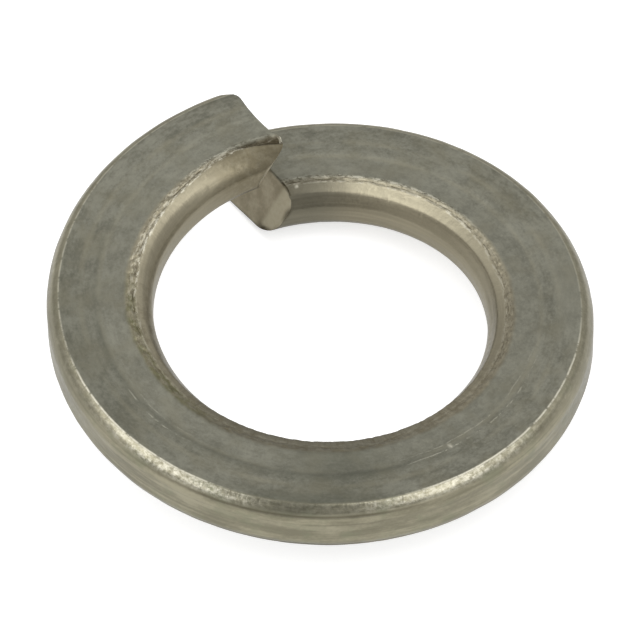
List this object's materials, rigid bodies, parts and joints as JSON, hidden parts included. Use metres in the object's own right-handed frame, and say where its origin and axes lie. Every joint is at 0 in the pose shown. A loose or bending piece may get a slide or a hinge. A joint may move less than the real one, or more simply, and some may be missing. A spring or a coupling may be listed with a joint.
{
  "type": "spring lock washer",
  "caption": "Split helical spring washer of rolled steel bar that goes under a bolt head or nut and springs open to keep the joint tight.",
  "frame": {"origin": "on the bore's axis, level with the lowest corner of the low end", "axes": "+Z along the bore's axis, from the low end towards the raised end; +Y through the split"},
  "size_m": [0.0208, 0.0208, 0.0052],
  "materials": {
    "rolled_steel": "tumbled satin, warm grey"
  },
  "bodies": {
    "root": {"spring_washer": "rolled_steel"}
  },
  "joints": []
}
